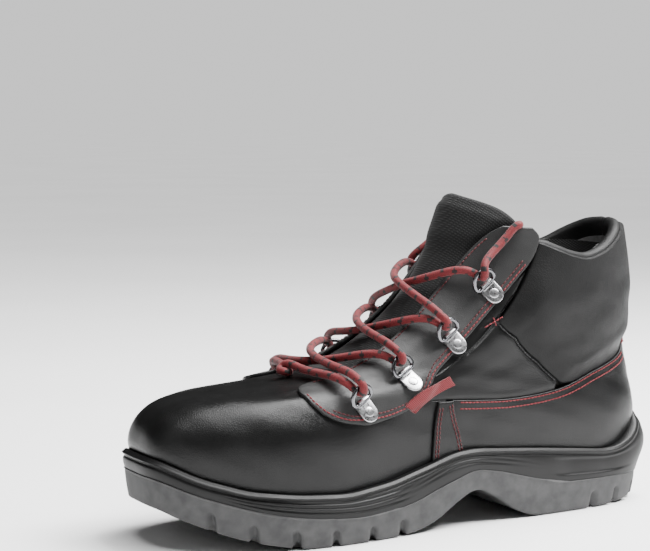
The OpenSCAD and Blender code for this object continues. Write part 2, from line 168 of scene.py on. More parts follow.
def at(v, a, d=0.0):
    """The point at (v, a), d outside the upper's surface."""
    v, a, d = np.broadcast_arrays(np.asarray(v, float), np.asarray(a, float), np.asarray(d, float))
    return surface(v, a) + d[..., None] * normal(v, a)


def outside(v, a, d=0.0):
    """The same, measured from the padded outside."""
    return at(v, a, d + heel_fullness(v, a))


# ---- meshes ----
def make(name, points, faces, material, slot, body=ROOT, replaces=(), face_materials=None):
    mesh = bpy.data.meshes.new(name)
    mesh.from_pydata((np.asarray(points, float) * MM).tolist(), [], faces)
    for m in material if isinstance(material, (list, tuple)) else [material]:
        mesh.materials.append(m)
    if face_materials is not None:
        mesh.polygons.foreach_set("material_index", np.asarray(face_materials, dtype=np.int32))
    work = bmesh.new()
    work.from_mesh(mesh)
    bmesh.ops.remove_doubles(work, verts=work.verts, dist=1e-6)
    bmesh.ops.recalc_face_normals(work, faces=work.faces)
    for face in work.faces:
        face.smooth = True
    work.to_mesh(mesh)
    work.free()
    piece = bpy.data.objects.new(name, mesh)
    bpy.context.collection.objects.link(piece)
    if body:
        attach(piece, body)
    if replaces:
        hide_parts(*replaces)
    return piece


def quads(n, m, first=0, closed=False, looped=False):
    """Faces of a grid of n rows and m columns; closed joins its side edges, and looped its end rows."""
    cell = lambda i, j: first + i % n * m + j % m
    return [[cell(i, j), cell(i + 1, j), cell(i + 1, j + 1), cell(i, j + 1)]
            for i in range(n if looped else n - 1) for j in range(m if closed else m - 1)]


def slab(outer, inner):
    """Points and faces of the closed solid between two grids of the same size."""
    n, m = outer.shape[:2]
    points = np.concatenate([outer.reshape(-1, 3), inner.reshape(-1, 3)])
    faces = quads(n, m) + [f[::-1] for f in quads(n, m, n * m)]
    rim = ([(0, j) for j in range(m)] + [(i, m - 1) for i in range(1, n)]
           + [(n - 1, j) for j in range(m - 2, -1, -1)] + [(i, 0) for i in range(n - 2, 0, -1)])
    for (i, j), (k, l) in zip(rim, rim[1:] + rim[:1]):
        faces.append([i * m + j, k * m + l, n * m + k * m + l, n * m + i * m + j])
    return points, faces


def bands(rings):
    """Points and faces of a closed loft through rings of equal length."""
    n, m = rings.shape[:2]
    faces = quads(n, m, closed=True)
    faces += [list(range(m)), list(range((n - 1) * m, n * m))[::-1]]
    return rings.reshape(-1, 3), faces


EDGE_STEPS = np.array([0, 0.07, 0.28, 0.6, 1.0])


def spread(count, length, radius):
    """Shares of ways of the given lengths, close together within one radius of both ends."""
    near = np.minimum(EDGE_STEPS[:, None] * radius / np.atleast_1d(length), 0.4 * EDGE_STEPS[:, None])
    inner = near[-1] + (1 - 2 * near[-1]) * np.linspace(0, 1, count + 2)[1:-1, None]
    return np.concatenate([near, inner, 1 - near[::-1]])


def grid(place, up, round_, radius):
    """Places (v, a) of a panel's grid, and how far each lies from the panel's four edges."""
    t = np.linspace(0, 1, 25)
    p = surface(*place(*np.meshgrid(t, t, indexing="ij")))
    tall = np.maximum(np.linalg.norm(np.diff(p, axis=0), axis=-1).sum(0), 0.5)
    wide = np.maximum(np.linalg.norm(np.diff(p, axis=1), axis=-1).sum(1), 0.5)
    w0, u0 = spread(round_, wide.mean(), radius)[:, 0], spread(up, tall.mean(), radius)[:, 0]
    tall, wide = np.interp(w0, t, tall), np.interp(u0, t, wide)
    u, w = spread(up, tall, radius), spread(round_, wide, radius).T
    v, a = place(u, w)
    edges = [u * tall, (1 - u) * tall, w * wide[:, None], (1 - w) * wide[:, None]]
    return v, a, edges


def rounded(e, radius):
    """How far a rounded edge lies below the face, e from the edge."""
    t = np.clip(1 - e / radius, 0, 1)
    return radius * (1 - np.sqrt(np.maximum(1 - t * t, 0)))


def panel(name, place, up, round_, top, base, radius, material, slot, lift=None, skin=outside):
    """A leather panel with rounded edges in place of its CAD node; lift(v, a, edges) is what it bulges."""
    v, a, edges = grid(place, up, round_, radius)
    near = np.minimum.reduce(edges)
    d = top - rounded(near, radius) + (lift(v, a, edges) if lift else 0) + grain_sag(v, a) * smooth(near / 6)
    faces = slab(skin(v, a, d), skin(v, a, np.full_like(d, base)))
    make(name, *faces, material, slot, replaces=[name])


def grain_sag(v, a):
    """Shallow hollows and swellings that lasted leather has all over."""
    broad = 0.13 * np.sin(v * 31 + a * 0.11 + 0.7) * np.sin(a * 0.23 - v * 9)
    return broad + 0.07 * np.sin(v * 67 - a * 0.31 + 2)


def flip(place):
    """The same panel on the inner side of the foot."""
    def other(u, w):
        v, a = place(u, w)
        return v, 360 - a
    return other


def signed_power(t, power):
    return np.sign(t) * np.abs(t) ** power


def between(low, high, a_low, a_high, power=1.0):
    """A panel between the curves low(a) and high(a), from the angle a_low to a_high."""
    def place(u, w):
        a = (a_low + a_high) / 2 + (a_high - a_low) / 2 * signed_power(2 * w - 1, power)
        return low(a) + (high(a) - low(a)) * u, a
    return place


# ---- materials ----
def add(tree, kind, inputs=None, **settings):
    """A shader node; an input is a value or another node's output."""
    node = tree.nodes.new("ShaderNode" + kind)
    for key, value in settings.items():
        setattr(node, key, value)
    for key, value in (inputs or {}).items():
        if hasattr(value, "is_output"):
            tree.links.new(value, node.inputs[key])
        else:
            node.inputs[key].default_value = value
    return node


def start(name, roughness=0.5, specular=0.5, **sockets):
    """A new material, its tree, its shader and its texture space."""
    material = bpy.data.materials.new(name)
    material.use_nodes = True
    tree = material.node_tree
    shader = tree.nodes["Principled BSDF"]
    shader.inputs["Roughness"].default_value = roughness
    shader.inputs["Specular IOR Level"].default_value = specular
    for key, value in sockets.items():
        shader.inputs[key.replace("_", " ")].default_value = value
    place = add(tree, "TexCoord").outputs["Object"]
    return material, tree, shader, place


def ramp(tree, factor, low, high, a=0.3, b=0.7):
    """From low to high as the factor goes from a to b."""
    node = add(tree, "ValToRGB", {"Fac": factor})
    node.color_ramp.elements[0].position = a
    node.color_ramp.elements[1].position = b
    node.color_ramp.elements[0].color = colour(low)
    node.color_ramp.elements[1].color = colour(high)
    return node.outputs["Color"]


def colour(c):
    return (c, c, c, 1) if isinstance(c, (int, float)) else (*c, 1)


def bump(tree, shader, *layers):
    """Bump from several (height, strength, depth in mm), one on the other."""
    below = None
    for height, strength, depth in layers:
        node = add(tree, "Bump", {"Height": height, "Strength": strength, "Distance": depth * MM})
        if below:
            tree.links.new(below, node.inputs["Normal"])
        below = node.outputs["Normal"]
    tree.links.new(below, shader.inputs["Normal"])


def per_mm(size):
    """A texture scale that repeats every size millimetres."""
    return 1 / (size * MM)


def noise(tree, place, size, detail, roughness=0.5):
    """Cloudy noise of a size in millimetres."""
    settings = {"Vector": place, "Scale": per_mm(size), "Detail": detail, "Roughness": roughness}
    return add(tree, "TexNoise", settings).outputs["Fac"]


def vary(tree, shader, socket, factor, low, high, a=0.3, b=0.7):
    """The factor takes a socket of the shader from low to high."""
    tree.links.new(ramp(tree, factor, low, high, a, b), shader.inputs[socket])


def leather(name, dark, light, rough, specular, grain=1.0, grain_depth=0.08):
    """Grain cells bent by noise, fine pores, and a slow change of colour and gloss."""
    material, tree, shader, place = start(name, specular=specular)
    bend = add(tree, "TexNoise", {"Vector": place, "Scale": per_mm(3.2), "Detail": 2.0})
    mix = add(tree, "VectorMath", {0: bend.outputs["Color"], "Scale": 0.7 * MM}, operation="SCALE")
    moved = add(tree, "VectorMath", {0: place, 1: mix.outputs[0]}, operation="ADD")
    cells = add(tree, "TexVoronoi", {"Vector": moved.outputs[0], "Scale": per_mm(grain)},
                feature="DISTANCE_TO_EDGE")
    ridges = ramp(tree, cells.outputs["Distance"], 0.0, 1.0, 0.0, 0.25)
    pores = noise(tree, place, 0.5, 3.0, 0.6)
    broad = noise(tree, place, 34, 4.0, 0.55)
    vary(tree, shader, "Base Color", broad, dark, light)
    vary(tree, shader, "Roughness", noise(tree, place, 11, 5.0, 0.65), *rough, 0.35, 0.7)
    bump(tree, shader, (broad, 0.35, 1.2), (ridges, 0.5, grain_depth), (pores, 0.3, 0.05))
    return material


def moulded(name, dark, light, rough, specular=0.4, mottle=28):
    """Moulded plastic with a fine matt texture, clouded over mottle millimetres."""
    material, tree, shader, place = start(name, specular=specular)
    broad = noise(tree, place, mottle, 5.0)
    vary(tree, shader, "Base Color", broad, dark, light)
    vary(tree, shader, "Roughness", broad, *rough)
    bump(tree, shader, (noise(tree, place, 0.6, 2.0), 0.4, 0.05))
    return material


def woven(name, dark, light, pitch, sheen=0.15):
    """Plain weave: two sets of threads that take turns on top."""
    material, tree, shader, place = start(name, roughness=0.85, specular=0.25, Sheen_Weight=sheen)
    wave = {"Scale": per_mm(pitch * 6.28 / 2), "Distortion": 0.6, "Detail": 1.0}
    waves = []
    for turn in (0.7, -0.87):
        turned = add(tree, "VectorRotate", {"Vector": place, "Angle": turn}, rotation_type="Y_AXIS")
        waves.append(add(tree, "TexWave", {"Vector": turned.outputs[0], **wave}, bands_direction="Z"))
    both = add(tree, "Math", {0: waves[0].outputs["Fac"], 1: waves[1].outputs["Fac"]}, operation="MULTIPLY")
    vary(tree, shader, "Base Color", both.outputs[0], dark, light, 0.05, 0.7)
    bump(tree, shader, (both.outputs[0], 0.7, 0.25))
    return material


def metal(name, shade, rough):
    material, tree, shader, place = start(name, roughness=rough, Metallic=1.0)
    streaks = noise(tree, place, 1.6, 6.0, 0.7)
    vary(tree, shader, "Base Color", streaks, tuple(c * 0.82 for c in shade), shade)
    vary(tree, shader, "Roughness", streaks, rough * 0.7, rough * 1.4)
    bump(tree, shader, (streaks, 0.3, 0.02))
    return material


def felt(name, dark, light, size=1.2):
    material, tree, shader, place = start(name, roughness=0.95, specular=0.15, Sheen_Weight=0.1)
    fibres = noise(tree, place, size, 6.0, 0.7)
    vary(tree, shader, "Base Color", fibres, dark, light)
    bump(tree, shader, (fibres, 0.6, 0.3))
    return material


def thread(name, dark, light):
    material, tree, shader, place = start(name, roughness=0.7, specular=0.3, Sheen_Weight=0.1)
    fibres = noise(tree, place, 0.5, 3.0)
    vary(tree, shader, "Base Color", fibres, dark, light)
    bump(tree, shader, (fibres, 0.5, 0.1))
    return material


LEATHER = leather("upper_leather", 0.0035, 0.006, (0.28, 0.36), 0.24)
# Painted sheen: the facing's base colour is lighter than the upper leather's, standing in for light from
# above falling on it; its satin gloss is real, from its roughness and specular.
FACING_LEATHER_PAINTED_SHEEN = leather("facing_leather_satin_painted_sheen", 0.012, 0.02, (0.4, 0.52), 0.36, grain=0.8)
COLLAR_LEATHER = leather("collar_leather_soft", 0.0045, 0.0075, (0.46, 0.58), 0.16, grain=1.3,
                         grain_depth=0.12)
MIDSOLE_PU = moulded("midsole_black", 0.005, 0.008, (0.4, 0.52), specular=0.22)
OUTSOLE_PU = moulded("outsole_grey", (0.042, 0.042, 0.043), (0.072, 0.072, 0.072), (0.6, 0.72),
                     specular=0.22, mottle=7)
LINING = woven("lining_mesh", 0.003, 0.014, 1.1)
TONGUE_TEXTILE = woven("tongue_weave", 0.003, 0.008, 1.4, sheen=0.05)
FOOTBED_TEXTILE = woven("footbed_weave", 0.006, 0.025, 1.3)
TAB_TEXTILE = woven("tab_weave", (0.07, 0.006, 0.008), (0.24, 0.025, 0.03), 0.9)
RING_STEEL = metal("ring_gunmetal", (0.16, 0.16, 0.17), 0.24)
CLIP_STEEL = metal("clip_nickel", (0.56, 0.56, 0.57), 0.3)
PLATE_STEEL = metal("plate_steel_rolled", (0.55, 0.55, 0.56), 0.35)
CAP_STEEL = moulded("toe_cap_coating", 0.2, 0.28, (0.4, 0.55))
# Painted shade: the stiffener felt is made dark so that where it shows through the gap between collar,
# quarter and counter it reads as a shadowed seam.
FELT_PAINTED_SHADE = felt("stiffener_felt_painted_shade", (0.012, 0.011, 0.01), (0.022, 0.02, 0.018))
FOAM = felt("foam_open_cell", 0.14, 0.24, 1.6)
BOARD = felt("fibre_board", (0.02, 0.018, 0.016), (0.035, 0.032, 0.028), 0.8)
RED_THREAD = thread("thread_red", (0.1, 0.006, 0.01), (0.2, 0.014, 0.02))
DIM_THREAD = thread("thread_dark_red", (0.045, 0.004, 0.006), (0.09, 0.008, 0.011))
BLACK_THREAD = thread("thread_black", 0.008, 0.02)
LACE_RED = thread("lace_red", (0.06, 0.004, 0.006), (0.17, 0.012, 0.015))
LACE_BLACK = thread("lace_black", 0.003, 0.008)
AGLET_FILM = moulded("aglet_film", 0.01, 0.02, (0.15, 0.25), specular=0.6)

# ---- the sole ----
TOP_X = [-49, -37, -26, -15, 7, 40, 80, 94, 111, 135, 163, 191, 217, 240, 260]
TOP_Z = [55, 43, 35, 33.5, 36, 39.5, 43, 42, 37, 31, 27.5, 29, 32, 39, 49]
MID_X = [-49, 0, 21, 42, 64, 80, 104, 117, 131, 150, 169, 189, 207, 224, 240, 260]
MID_Z = [17, 17.5, 18, 23, 29, 31.5, 24, 19, 16, 14, 15, 17, 20, 25, 30, 39]
TREAD_X = [-49, -30, -10, 36, 48, 64, 77, 90, 104, 117, 131, 189, 207, 224, 240, 252, 260]
TREAD_Z = [3.4, 1, 0, 0, 4.5, 15, 20.5, 14.5, 5.5, 1.2, 0, 0, 3, 7, 13, 18, 23]
RIM_W = 5
STATIONS = 330
HALF_TURN = np.linspace(1.2, 178.8, STATIONS)
SOLE_SIDES = np.concatenate([HALF_TURN, 360 - HALF_TURN[::-1]])


def plan(m, n=3.1):
    """Plan outline of the sole, m outside the feather line: x and y round the sole."""
    s = (1 - np.cos(np.radians(SOLE_SIDES))) / 2
    lateral = SOLE_SIDES < 180
    half = np.where(lateral, spl(QUARTERS, LATERAL_W[0], s), spl(QUARTERS, MEDIAL_W[0], s)) + m
    x = -44 - m + (299 + 2 * m) * s
    y = bend_y(x) + np.where(lateral, 1, -1) * half * np.maximum(1 - np.abs(1 - 2 * s) ** n, 0) ** (1 / n)
    return x, y


def soft_line(xs, zs, x):
    """The line (xs, zs) with its corners eased."""
    return sum(np.interp(x + k, xs, zs) for k in (-5, -2.5, 0, 2.5, 5)) / 5


def rim_height(v, a):
    """The height up the upper at which the midsole's rim meets it."""
    for _ in range(4):
        p = surface(v, a)
        rise = (surface(v + 0.01, a)[..., 2] - p[..., 2]) / 0.01
        v = np.clip(v + (soft_line(TOP_X, TOP_Z, p[..., 0]) - 0.4 - p[..., 2]) / rise, 0.004, 0.3)
    return v


def ridge(t, centre, width):
    """A rounded ridge of height 1."""
    return np.exp(-((t - centre) / width) ** 2)


def heel_bulge(back, z):
    """The heel swells out behind and closes in on the leather at its top."""
    return back * (4.2 * ridge(z, 35, 13) - 2.2 * smooth((z - 44) / 9))


def midsole():
    """Black unit with a rim, grooves at the forefoot, arcs at the waist and a sunk panel at the heel."""
    x0 = plan(RIM_W)[0]
    low, top = soft_line(MID_X, MID_Z, x0), soft_line(TOP_X, TOP_Z, x0)
    rows = [0, 0.03, 0.07] + list(np.linspace(0.1, 0.72, 26)) + list(np.linspace(0.74, 1, 22))
    rings = []
    fore, waist = smooth((x0 - 118) / 20) * (1 - smooth((x0 - 205) / 30)), ridge(x0, 84, 26)
    heel = smooth((30 - x0) / 20)
    back = smooth((-12 - x0) / 28)
    for t in rows:
        z = low + (top - low) * t
        below_top = top - z
        rim = (1 - 0.85 * back) * (1.1 * ridge(below_top, 1.7, 0.9) - 0.55 * ridge(below_top, 3.5, 0.7))
        grooves = -0.75 * fore * sum(ridge(t, c, 0.035) for c in (0.26, 0.45, 0.64))
        arc = top - 0.0016 * (x0 - 84) ** 2
        arcs = -0.8 * waist * (ridge(z, arc - 5, 0.8) + ridge(z, arc - 7.4, 0.8))
        panel_in = -1.3 * heel * (1 - back) * smooth((t - 0.16) / 0.08) * smooth((0.74 - t) / 0.1)
        belly = 0.9 * math.sin(math.pi * min(t * 1.1, 1))
        tail = heel_bulge(back, z)
        edge = 0.5 * rounded(np.full_like(x0, (1 - t) * 14), 1.2)
        m = RIM_W + belly + rim + grooves + arcs + panel_in + tail - edge
        x, y = plan(m)
        rings.append(np.stack([x, y, z], -1))
    inner_v = rim_height(np.full(SOLE_SIDES.shape, 0.05), SOLE_SIDES)
    tail = heel_bulge(back, top)
    for inward, drop in ((0.9, -0.1), (2.2, 0.1)):
        x, y = plan(RIM_W - inward + tail * (1 - inward / 4))
        rings.append(np.stack([x, y, top - drop - 0.1], -1))
    for share in (1, 0.5, 0):
        rings.append(outside(inner_v * share, SOLE_SIDES, -0.6))
    make("midsole", *bands(np.array(rings)), MIDSOLE_PU, "midsole_pu", replaces=["midsole"])


# Side notches: place along the sole and half width
NOTCHES = [(-41, 1.3), (-24, 1.4), (-6, 1.5), (128, 1.5), (148, 1.5), (171, 1.5), (193, 1.5), (215, 1.4),
           (235, 1.3)]


def notch(x):
    """1 in the middle of a side notch and 0 between notches."""
    return np.minimum(sum(ridge(x, c, w) ** 0.5 * (np.abs(x - c) < w * 1.6) for c, w in NOTCHES), 1)


def outsole():
    """Grey unit: a wall with side notches, and a tread sheet with lugs that closes it below."""
    x0 = plan(RIM_W)[0]
    top = soft_line(MID_X, MID_Z, x0) - 0.05
    tread = soft_line(TREAD_X, TREAD_Z, x0)
    cut = notch(x0)
    rings = []
    for t in np.concatenate([[0, 0.02, 0.05], np.linspace(0.09, 0.9, 16), [0.95, 0.98, 1]]):
        depth = cut * 2.6 * smooth((0.5 - t) / 0.08)
        lip = 0.5 * ridge(t, 0.985, 0.02)
        bottom = tread + cut * 3.0
        z = bottom + (top - bottom) * t
        m = RIM_W - 2 * (1 - t) ** 1.6 - depth + lip - 1.2 * rounded(np.array(t * 20), 1.5)
        x, y = plan(m)
        rings.append(np.stack([x, y, z], -1))
    rings = np.array(rings)
    bottom = rings[0]
    across = np.linspace(0, 1, 95)[1:-1]
    n = STATIONS
    left, right = bottom[:n], bottom[n:][::-1]
    sheet = left[:, None] + (right - left)[:, None] * across[None, :, None]
    sheet[..., 2] = tread[:n, None] + lugs(sheet[..., 0], sheet[..., 1])
    points = np.concatenate([rings.reshape(-1, 3), sheet.reshape(-1, 3)])
    m, k = 2 * n, len(across)
    base = rings.shape[0] * m
    index = lambda i, j: i if j < 0 else (m - 1 - i if j >= k else base + i * k + j)
    faces = quads(rings.shape[0], m, closed=True)
    for i in range(n - 1):
        for j in range(-1, k):
            faces.append([index(i, j), index(i, j + 1), index(i + 1, j + 1), index(i + 1, j)])
    for i in (0, n - 1):
        faces.append([index(i, j) for j in range(-1, k + 1)])
    faces.append(list(range((rings.shape[0] - 1) * m, rings.shape[0] * m)))
    make("outsole", points, faces, OUTSOLE_PU, "outsole_pu", replaces=["outsole"])


def lugs(x, y):
    """Grooves between the lugs, as heights above the tread."""
    edge = np.abs(y - bend_y(x))
    sides = notch(x) * smooth((edge - 14) / 4)
    chevrons = ridge(np.abs((x + 0.55 * edge) % 21 - 10.5), 0, 1.5) * (edge < 15)
    middle = np.clip(ridge(edge, 15, 1.6) + chevrons, 0, 1)
    waist = smooth((x - 42) / 8) * smooth((112 - x) / 8)
    bars = ridge(np.abs(x % 9 - 4.5), 0, 1.4) * waist * smooth((30 - edge) / 3)
    return 3.0 * np.clip(sides + middle * (1 - waist), 0, 1) + 1.2 * bars


# ---- inside the boot ----
LEATHER_T = 1.8


def lining_depth(v):
    """The lining lies deeper where the foam and the stiffener are."""
    return -4.6 - 2 * np.clip((v - 0.22) / 0.2, 0, 1)


def linings():
    vamp_place = between(lambda a: 0.07 + 0 * a, lambda a: 0.46 + 0 * a, 104, 256, 1.25)
    for name, place in (("vamp_lining", vamp_place), ("shaft_lining", shaft_place)):
        v, a, edges = grid(place, 30, 90, 0.8)
        d = lining_depth(v)
        make(name, *slab(at(v, a, d), at(v, a, d - 0.9)), LINING, "lining", replaces=[name])


def shaft_place(u, w):
    turn = 103 + 22 * np.clip((u - 0.5) * 5, 0, 1)
    a = turn * (2 * w - 1)
    return 0.07 + u * (np.minimum(collar_top(np.abs(a)), 0.9) - 0.09), a


def footbed():
    """Contoured and cupped at the heel, with a soft rounded rim."""
    shares = np.linspace(0, 1, 60)
    rows = []
    feather_s = np.clip((1 - np.cos(np.radians(HALF_TURN[::3]))) / 2, 0, 1)
    z0 = 34 + 7 * feather_s + spl(DIP_S, DIP_Z, feather_s)
    x, y = plan(-8.6)
    n = STATIONS
    left = np.stack([x[:n][::3], y[:n][::3], z0], -1)
    right = np.stack([x[n:][::-1][::3], y[n:][::-1][::3], z0], -1)
    edge = np.minimum(shares, 1 - shares)[None, :] * np.linalg.norm(right - left, axis=1)[:, None]
    ends = np.minimum(left[:, 0] - left[0, 0], left[-1, 0] - left[:, 0])[:, None] + 1e-6
    near = np.minimum(edge, ends * 1.6)
    middle = left[:, None] + (right - left)[:, None] * shares[None, :, None]
    cup = 1.5 * (1 - smooth(near / 13)) * (1 - smooth((middle[..., 0] - 60) / 60))
    for top in (True, False):
        sheet = middle.copy()
        sheet[..., 2] += (5.9 + cup - rounded(near, 1.4)) if top else 2.6
        rows.append(sheet)
    piece = make("footbed", *slab(*rows), FOOTBED_TEXTILE, "footbed_fabric", body="footbed",
                 replaces=["footbed"])


# ---- panels of the upper ----
LINE_A = [0, 16, 20, 43, 54, 62, 72, 80, 87]
COUNTER_V = [0.46, 0.45, 0.41, 0.34, 0.285, 0.262, 0.25, 0.255, 0.265]
COLLAR_A = [0, 20, 32, 44, 56, 70, 81, 91, 103, 125]
COLLAR_V = [1, 0.985, 0.96, 0.925, 0.885, 0.86, 0.868, 0.885, 0.905, 0.92]
DIAG_A = [0, 44, 55, 69, 88, 104]
DIAG_V = [0.3, 0.3, 0.3, 0.44, 0.59, 0.67]
VAMP_A = [88, 96, 103, 112, 120, 130, 140, 148, 160, 180]
VAMP_V = [0.265, 0.275, 0.295, 0.325, 0.355, 0.405, 0.452, 0.485, 0.51, 0.52]


def counter_top(a):
    return spl(LINE_A, COUNTER_V, fold(a))


def collar_top(a):
    return spl(COLLAR_A, COLLAR_V, fold(a))


def diagonal(a):
    return np.interp(fold(a), DIAG_A, DIAG_V)


def vamp_top(a):
    return spl(VAMP_A, VAMP_V, fold(a))


def quarter_lift(v, a, edges):
    """A quarter sinks at its lower and upper seams, and swells under the facing's rear edge."""
    seam = -0.5 * (1 - smooth(np.minimum(edges[0], edges[1]) / 4))
    return seam + 1.4 * ridge(fold(a), 107, 6) * smooth((v - 0.64) / 0.06)


def quarter(u, w):
    a = 57 + 89 * w
    lo = np.where(a < 88, counter_top(np.minimum(a, 87)), vamp_top(np.maximum(a, 88))) - 0.004
    hi = np.where(a < 104, diagonal(a), spl([104, 125, 139, 146], [0.905, 0.9, 0.87, 0.82], a))
    return lo + (np.maximum(hi, lo + 0.02) - lo) * u, a


def uppers():
    low = lambda a: 0.004 + 0 * a
    vamp = between(low, vamp_top, 88.5, 271.5, 1.15)
    counter = between(low, counter_top, -87, 87, 1.2)
    panel("vamp", vamp, 46, 150, 0.1, -LEATHER_T, 0.7, LEATHER, "leather")
    panel("heel_counter", counter, 34, 110, 0.9, -LEATHER_T, 0.8, LEATHER, "leather")
    for name, place in (("quarter_lateral", quarter), ("quarter_medial", flip(quarter))):
        panel(name, place, 34, 70, 0.0, -LEATHER_T, 0.8, LEATHER, "leather", quarter_lift)


# ---- the padded collar ----
ROLL_IN = -5.8
COLLAR_END = 103.2


def collar(side):
    """Soft leather over foam: it swells out of its seams, rolls over the top and lines the inside."""
    name = "collar_lateral" if side > 0 else "collar_medial"
    a = np.concatenate([[0.3, 0.6, 1.2, 2.2, 3.6], np.linspace(5.5, 98, 76),
                        [99.6, 101, 102, 102.7, COLLAR_END]])
    round_ = side_angle(a, side)
    lo = np.maximum(counter_top(np.minimum(a, 56)), diagonal(a)) - 0.002
    hi = collar_top(a)
    climb = np.linalg.norm(surface(hi, a) - surface(hi - 0.02, a), axis=-1) / 0.02
    d_out = 1.2 + heel_fullness(hi, a)
    radius = (d_out - ROLL_IN) / 2
    v_roll = hi - radius / climb
    height = (v_roll - lo) * climb
    from_end = np.minimum((a - a[0]) * 0.72, (COLLAR_END - a) * 0.75)
    rows = []
    for u in spread(34, height, 1.4):
        v = lo + (v_roll - lo) * u
        e = np.minimum(u * height, from_end)
        thinning = 1 - 0.72 * smooth((u - 0.45) / 0.55)
        swell = 5.2 * smooth(u * height / 17) * smooth(from_end / 12 + 0.12) * thinning
        crease = creases(v, a) * smooth(e / 8)
        rows.append(outside(v, round_, 1.2 * smooth(u * 1.6) + swell - rounded(e, 1.4) + crease))
    up = unit(surface(v_roll + 0.01, round_) - surface(v_roll - 0.01, round_))
    out = normal(v_roll, round_)
    pinch = (1 - 0.22 * (1 - smooth(from_end / 4)))[:, None]
    centre = at(v_roll, round_, (d_out + ROLL_IN) / 2)
    for turn in np.radians(np.linspace(0, 180, 19)[1:-1]):
        rows.append(centre + pinch * radius[:, None] * (math.cos(turn) * out + math.sin(turn) * up))
    for down in np.linspace(0, 0.15, 14):
        rows.append(at(v_roll - down, round_, ROLL_IN + 1.2 * smooth(down / 0.15)))
    rows += [at(lo + 0.01, round_, -3.0), at(lo, round_, -1.9)]
    rings = np.array(rows).transpose(1, 0, 2)
    piece = make(name, *bands(rings), COLLAR_LEATHER, "collar_leather", replaces=[name])


def side_angle(a, side):
    return a if side > 0 else 360 - a


def creases(v, a):
    """Soft folds of the collar where it bends with the ankle."""
    deep = 0.22 * np.sin(a * 0.09 + 5 * v + 1) * np.sin(v * 21 + a * 0.04)
    return deep + 0.1 * np.sin(v * 55 + 0.4 * np.sin(a * 0.2))


def collar_padding():
    def place(u, w):
        a = 101 * signed_power(2 * w - 1, 1.1)
        hi = collar_top(a) - 0.05
        lo = np.maximum(np.maximum(counter_top(np.minimum(fold(a), 56)), diagonal(a)) + 0.03, 0.46)
        return lo + (hi - lo) * u, a
    panel("collar_foam", place, 20, 60, -2.6, -5.4, 1.0, FOAM, "foam", skin=at)


STRIP_V = [0.455, 0.52, 0.58, 0.66, 0.76, 0.86, 0.955]
STRIP_HALF = [19, 21.5, 21, 16, 12.5, 11, 10]


def strip_swell(v):
    """The strip rides over the swelling of the collar beneath it."""
    return 0.3 + 1.3 * smooth((v - 0.47) / 0.1) * (1 - 0.5 * smooth((v - 0.75) / 0.15))


def back_strip():
    def place(u, w):
        v = 0.455 + 0.5 * u
        return v, spl(STRIP_V, STRIP_HALF, v) * (2 * w - 1)

    def swell(v, a, edges):
        side = np.minimum(edges[2], edges[3])
        return strip_swell(v) + 0.7 * ridge(side, 1.0, 0.8)
    panel("back_strip", place, 40, 30, 1.3, -1.5, 0.9, LEATHER, "leather", swell)


# ---- overlays: facings, straps and the side tab ----
FACING_V = [0.205, 0.215, 0.24, 0.28, 0.33, 0.385, 0.44, 0.5, 0.6, 0.7, 0.78, 0.84, 0.88, 0.91, 0.93]
FACING_REAR = [107.5, 104, 99, 96, 97, 100, 104, 108, 111.5, 111.5, 108, 104, 103, 104, 108.5]
FACING_FRONT = [108.5, 113, 118.5, 123.5, 130, 140, 149.5, 150, 150, 150, 147.5, 143, 138, 132, 125]
OVERLAY_TOP = 2.0
STRAP_V = [0.03, 0.12, 0.16, 0.19, 0.22, 0.262]
STRAP_REAR = [82, 83.5, 84.4, 85.2, 86, 87]
STRAP_FRONT = [90.2, 90.2, 90.3, 90.4, 90.6, 91]


def facing(u, w):
    v = 0.205 + 0.725 * u
    rear, front = spl(FACING_V, FACING_REAR, v), spl(FACING_V, FACING_FRONT, v)
    return v, rear + (front - rear) * w


def strap(u, w):
    v = STRAP_V[0] + (STRAP_V[-1] - STRAP_V[0]) * u
    return v, spl(STRAP_V, STRAP_REAR, v) * (1 - w) + spl(STRAP_V, STRAP_FRONT, v) * w


def overlays():
    for side, turn in (("lateral", lambda p: p), ("medial", flip)):
        rim = (OVERLAY_TOP, -0.4, 0.8)
        panel("facing_" + side, turn(facing), 90, 34, *rim, FACING_LEATHER_PAINTED_SHEEN, "facing_leather", skin=at)
        panel("strap_" + side, turn(strap), 24, 10, *rim, LEATHER, "leather", skin=at)

    def tab(u, w):
        lower = [0.225 + 0.125 * w, 96 - 5.5 * w]
        upper = [0.26 + 0.16 * w, 100 - 2.5 * w]
        return lower[0] + (upper[0] - lower[0]) * u, lower[1] + (upper[1] - lower[1]) * u

    def over_edge(v, a, d):
        """The tab steps down where it leaves the facing."""
        return at(v, a, d - 1.9 * smooth((spl(FACING_V, FACING_REAR, v) - a) / 3))
    panel("side_tab", tab, 10, 26, OVERLAY_TOP + 1.3, OVERLAY_TOP - 0.6, 0.5, TAB_TEXTILE, "tab_textile",
          skin=over_edge)


# ---- the tongue ----
TONGUE_V = [0.46, 0.6, 0.8, 0.85, 0.9, 0.94, 1]
TONGUE_A = [134, 132, 132, 134, 132, 124, 113]
TONGUE_TOP_A = [113, 120, 130, 145, 168, 180]
TONGUE_TOP_V = [0.925, 0.952, 0.972, 0.985, 0.995, 0.998]
FOLD_AT = 0.844


